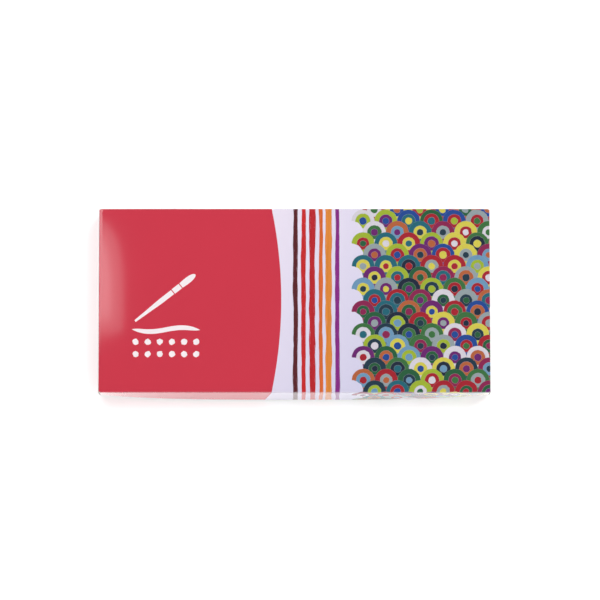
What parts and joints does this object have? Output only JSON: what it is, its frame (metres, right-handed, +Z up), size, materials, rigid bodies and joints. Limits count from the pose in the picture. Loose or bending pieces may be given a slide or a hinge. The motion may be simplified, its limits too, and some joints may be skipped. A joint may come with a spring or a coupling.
{
  "type": "gouache paint set box",
  "caption": "Shallow carton with a lift-off printed lid over a card base, holding a formed tray of aluminium paint tubes with screw caps.",
  "frame": {"origin": "middle of the underside of the card base", "axes": "+X along the box's length to the right, the front with the tubes' caps towards -Y, +Z up through the lid"},
  "size_m": [0.2396, 0.119, 0.02],
  "materials": {
    "printed_board": "gloss",
    "plain_board": "matte",
    "tray_plastic": "gloss",
    "tube_aluminium": "satin",
    "cap_plastic": "satin",
    "wad_foam": "matte",
    "paint_white": "satin",
    "paint_lemon_yellow": "satin",
    "paint_yellow_ochre": "satin",
    "paint_orange": "satin",
    "paint_vermilion": "satin",
    "paint_crimson": "satin",
    "paint_ultramarine": "satin",
    "paint_cerulean": "satin",
    "paint_viridian": "satin",
    "paint_sap_green": "satin",
    "paint_burnt_sienna": "satin",
    "paint_black": "satin"
  },
  "bodies": {
    "box": {"base": "plain_board", "tray_cap_trough": "tray_plastic", "tray_channels": "tray_plastic", "tray_tail_trough": "tray_plastic"},
    "lid": {"lid": "printed_board"},
    "tube_white": {"tube_white": "tube_aluminium", "paint_white": "paint_white"},
    "wad_white": {"wad_white": "wad_foam"},
    "cap_white": {"cap_white": "cap_plastic"},
    "tube_lemon_yellow": {"tube_lemon_yellow": "tube_aluminium", "paint_lemon_yellow": "paint_lemon_yellow"},
    "wad_lemon_yellow": {"wad_lemon_yellow": "wad_foam"},
    "cap_lemon_yellow": {"cap_lemon_yellow": "cap_plastic"},
    "tube_yellow_ochre": {"tube_yellow_ochre": "tube_aluminium", "paint_yellow_ochre": "paint_yellow_ochre"},
    "wad_yellow_ochre": {"wad_yellow_ochre": "wad_foam"},
    "cap_yellow_ochre": {"cap_yellow_ochre": "cap_plastic"},
    "tube_orange": {"tube_orange": "tube_aluminium", "paint_orange": "paint_orange"},
    "wad_orange": {"wad_orange": "wad_foam"},
    "cap_orange": {"cap_orange": "cap_plastic"},
    "tube_vermilion": {"tube_vermilion": "tube_aluminium", "paint_vermilion": "paint_vermilion"},
    "wad_vermilion": {"wad_vermilion": "wad_foam"},
    "cap_vermilion": {"cap_vermilion": "cap_plastic"},
    "tube_crimson": {"tube_crimson": "tube_aluminium", "paint_crimson": "paint_crimson"},
    "wad_crimson": {"wad_crimson": "wad_foam"},
    "cap_crimson": {"cap_crimson": "cap_plastic"},
    "tube_ultramarine": {"tube_ultramarine": "tube_aluminium", "paint_ultramarine": "paint_ultramarine"},
    "wad_ultramarine": {"wad_ultramarine": "wad_foam"},
    "cap_ultramarine": {"cap_ultramarine": "cap_plastic"},
    "tube_cerulean": {"tube_cerulean": "tube_aluminium", "paint_cerulean": "paint_cerulean"},
    "wad_cerulean": {"wad_cerulean": "wad_foam"},
    "cap_cerulean": {"cap_cerulean": "cap_plastic"},
    "tube_viridian": {"tube_viridian": "tube_aluminium", "paint_viridian": "paint_viridian"},
    "wad_viridian": {"wad_viridian": "wad_foam"},
    "cap_viridian": {"cap_viridian": "cap_plastic"},
    "tube_sap_green": {"tube_sap_green": "tube_aluminium", "paint_sap_green": "paint_sap_green"},
    "wad_sap_green": {"wad_sap_green": "wad_foam"},
    "cap_sap_green": {"cap_sap_green": "cap_plastic"},
    "tube_burnt_sienna": {"tube_burnt_sienna": "tube_aluminium", "paint_burnt_sienna": "paint_burnt_sienna"},
    "wad_burnt_sienna": {"wad_burnt_sienna": "wad_foam"},
    "cap_burnt_sienna": {"cap_burnt_sienna": "cap_plastic"},
    "tube_black": {"tube_black": "tube_aluminium", "paint_black": "paint_black"},
    "wad_black": {"wad_black": "wad_foam"},
    "cap_black": {"cap_black": "cap_plastic"}
  },
  "joints": [
    {"name": "lid_lift", "type": "slide", "parent": "box", "child": "lid", "axis": [0, 0, 1], "range_m": [0, 0.12]},
    {"name": "lift_white", "type": "slide", "parent": "box", "child": "tube_white", "axis": [0, 0, 1], "range_m": [0, 0.0425]},
    {"name": "screw_travel_white", "type": "slide", "parent": "tube_white", "child": "wad_white", "axis": [0, -1, 0], "range_m": [0, 0.0045]},
    {"name": "unscrew_white", "type": "hinge", "parent": "wad_white", "child": "cap_white", "pos_m": [-0.1054, -0.03775, 0.00884], "axis": [0, -1, 0], "range_deg": [0, 1080]},
    {"name": "lift_lemon_yellow", "type": "slide", "parent": "box", "child": "tube_lemon_yellow", "axis": [0, 0, 1], "range_m": [0, 0.0425]},
    {"name": "screw_travel_lemon_yellow", "type": "slide", "parent": "tube_lemon_yellow", "child": "wad_lemon_yellow", "axis": [0, -1, 0], "range_m": [0, 0.0045]},
    {"name": "unscrew_lemon_yellow", "type": "hinge", "parent": "wad_lemon_yellow", "child": "cap_lemon_yellow", "pos_m": [-0.08623, -0.03775, 0.00884], "axis": [0, -1, 0], "range_deg": [0, 1080]},
    {"name": "lift_yellow_ochre", "type": "slide", "parent": "box", "child": "tube_yellow_ochre", "axis": [0, 0, 1], "range_m": [0, 0.0425]},
    {"name": "screw_travel_yellow_ochre", "type": "slide", "parent": "tube_yellow_ochre", "child": "wad_yellow_ochre", "axis": [0, -1, 0], "range_m": [0, 0.0045]},
    {"name": "unscrew_yellow_ochre", "type": "hinge", "parent": "wad_yellow_ochre", "child": "cap_yellow_ochre", "pos_m": [-0.06707, -0.03775, 0.00884], "axis": [0, -1, 0], "range_deg": [0, 1080]},
    {"name": "lift_orange", "type": "slide", "parent": "box", "child": "tube_orange", "axis": [0, 0, 1], "range_m": [0, 0.0425]},
    {"name": "screw_travel_orange", "type": "slide", "parent": "tube_orange", "child": "wad_orange", "axis": [0, -1, 0], "range_m": [0, 0.0045]},
    {"name": "unscrew_orange", "type": "hinge", "parent": "wad_orange", "child": "cap_orange", "pos_m": [-0.04791, -0.03775, 0.00884], "axis": [0, -1, 0], "range_deg": [0, 1080]},
    {"name": "lift_vermilion", "type": "slide", "parent": "box", "child": "tube_vermilion", "axis": [0, 0, 1], "range_m": [0, 0.0425]},
    {"name": "screw_travel_vermilion", "type": "slide", "parent": "tube_vermilion", "child": "wad_vermilion", "axis": [0, -1, 0], "range_m": [0, 0.0045]},
    {"name": "unscrew_vermilion", "type": "hinge", "parent": "wad_vermilion", "child": "cap_vermilion", "pos_m": [-0.02874, -0.03775, 0.00884], "axis": [0, -1, 0], "range_deg": [0, 1080]},
    {"name": "lift_crimson", "type": "slide", "parent": "box", "child": "tube_crimson", "axis": [0, 0, 1], "range_m": [0, 0.0425]},
    {"name": "screw_travel_crimson", "type": "slide", "parent": "tube_crimson", "child": "wad_crimson", "axis": [0, -1, 0], "range_m": [0, 0.0045]},
    {"name": "unscrew_crimson", "type": "hinge", "parent": "wad_crimson", "child": "cap_crimson", "pos_m": [-0.00958, -0.03775, 0.00884], "axis": [0, -1, 0], "range_deg": [0, 1080]},
    {"name": "lift_ultramarine", "type": "slide", "parent": "box", "child": "tube_ultramarine", "axis": [0, 0, 1], "range_m": [0, 0.0425]},
    {"name": "screw_travel_ultramarine", "type": "slide", "parent": "tube_ultramarine", "child": "wad_ultramarine", "axis": [0, -1, 0], "range_m": [0, 0.0045]},
    {"name": "unscrew_ultramarine", "type": "hinge", "parent": "wad_ultramarine", "child": "cap_ultramarine", "pos_m": [0.00958, -0.03775, 0.00884], "axis": [0, -1, 0], "range_deg": [0, 1080]},
    {"name": "lift_cerulean", "type": "slide", "parent": "box", "child": "tube_cerulean", "axis": [0, 0, 1], "range_m": [0, 0.0425]},
    {"name": "screw_travel_cerulean", "type": "slide", "parent": "tube_cerulean", "child": "wad_cerulean", "axis": [0, -1, 0], "range_m": [0, 0.0045]},
    {"name": "unscrew_cerulean", "type": "hinge", "parent": "wad_cerulean", "child": "cap_cerulean", "pos_m": [0.02874, -0.03775, 0.00884], "axis": [0, -1, 0], "range_deg": [0, 1080]},
    {"name": "lift_viridian", "type": "slide", "parent": "box", "child": "tube_viridian", "axis": [0, 0, 1], "range_m": [0, 0.0425]},
    {"name": "screw_travel_viridian", "type": "slide", "parent": "tube_viridian", "child": "wad_viridian", "axis": [0, -1, 0], "range_m": [0, 0.0045]},
    {"name": "unscrew_viridian", "type": "hinge", "parent": "wad_viridian", "child": "cap_viridian", "pos_m": [0.04791, -0.03775, 0.00884], "axis": [0, -1, 0], "range_deg": [0, 1080]},
    {"name": "lift_sap_green", "type": "slide", "parent": "box", "child": "tube_sap_green", "axis": [0, 0, 1], "range_m": [0, 0.0425]},
    {"name": "screw_travel_sap_green", "type": "slide", "parent": "tube_sap_green", "child": "wad_sap_green", "axis": [0, -1, 0], "range_m": [0, 0.0045]},
    {"name": "unscrew_sap_green", "type": "hinge", "parent": "wad_sap_green", "child": "cap_sap_green", "pos_m": [0.06707, -0.03775, 0.00884], "axis": [0, -1, 0], "range_deg": [0, 1080]},
    {"name": "lift_burnt_sienna", "type": "slide", "parent": "box", "child": "tube_burnt_sienna", "axis": [0, 0, 1], "range_m": [0, 0.0425]},
    {"name": "screw_travel_burnt_sienna", "type": "slide", "parent": "tube_burnt_sienna", "child": "wad_burnt_sienna", "axis": [0, -1, 0], "range_m": [0, 0.0045]},
    {"name": "unscrew_burnt_sienna", "type": "hinge", "parent": "wad_burnt_sienna", "child": "cap_burnt_sienna", "pos_m": [0.08623, -0.03775, 0.00884], "axis": [0, -1, 0], "range_deg": [0, 1080]},
    {"name": "lift_black", "type": "slide", "parent": "box", "child": "tube_black", "axis": [0, 0, 1], "range_m": [0, 0.0425]},
    {"name": "screw_travel_black", "type": "slide", "parent": "tube_black", "child": "wad_black", "axis": [0, -1, 0], "range_m": [0, 0.0045]},
    {"name": "unscrew_black", "type": "hinge", "parent": "wad_black", "child": "cap_black", "pos_m": [0.1054, -0.03775, 0.00884], "axis": [0, -1, 0], "range_deg": [0, 1080]}
  ],
  "couplings": [
    {"joint": "lift_white", "follows": "lid_lift", "ratio": 0.35},
    {"joint": "unscrew_white", "follows": "screw_travel_white", "rad_per_m": 4188.8},
    {"joint": "lift_lemon_yellow", "follows": "lid_lift", "ratio": 0.35},
    {"joint": "unscrew_lemon_yellow", "follows": "screw_travel_lemon_yellow", "rad_per_m": 4188.8},
    {"joint": "lift_yellow_ochre", "follows": "lid_lift", "ratio": 0.35},
    {"joint": "unscrew_yellow_ochre", "follows": "screw_travel_yellow_ochre", "rad_per_m": 4188.8},
    {"joint": "lift_orange", "follows": "lid_lift", "ratio": 0.35},
    {"joint": "unscrew_orange", "follows": "screw_travel_orange", "rad_per_m": 4188.8},
    {"joint": "lift_vermilion", "follows": "lid_lift", "ratio": 0.35},
    {"joint": "unscrew_vermilion", "follows": "screw_travel_vermilion", "rad_per_m": 4188.8},
    {"joint": "lift_crimson", "follows": "lid_lift", "ratio": 0.35},
    {"joint": "unscrew_crimson", "follows": "screw_travel_crimson", "rad_per_m": 4188.8},
    {"joint": "lift_ultramarine", "follows": "lid_lift", "ratio": 0.35},
    {"joint": "unscrew_ultramarine", "follows": "screw_travel_ultramarine", "rad_per_m": 4188.8},
    {"joint": "lift_cerulean", "follows": "lid_lift", "ratio": 0.35},
    {"joint": "unscrew_cerulean", "follows": "screw_travel_cerulean", "rad_per_m": 4188.8},
    {"joint": "lift_viridian", "follows": "lid_lift", "ratio": 0.35},
    {"joint": "unscrew_viridian", "follows": "screw_travel_viridian", "rad_per_m": 4188.8},
    {"joint": "lift_sap_green", "follows": "lid_lift", "ratio": 0.35},
    {"joint": "unscrew_sap_green", "follows": "screw_travel_sap_green", "rad_per_m": 4188.8},
    {"joint": "lift_burnt_sienna", "follows": "lid_lift", "ratio": 0.35},
    {"joint": "unscrew_burnt_sienna", "follows": "screw_travel_burnt_sienna", "rad_per_m": 4188.8},
    {"joint": "lift_black", "follows": "lid_lift", "ratio": 0.35},
    {"joint": "unscrew_black", "follows": "screw_travel_black", "rad_per_m": 4188.8}
  ]
}
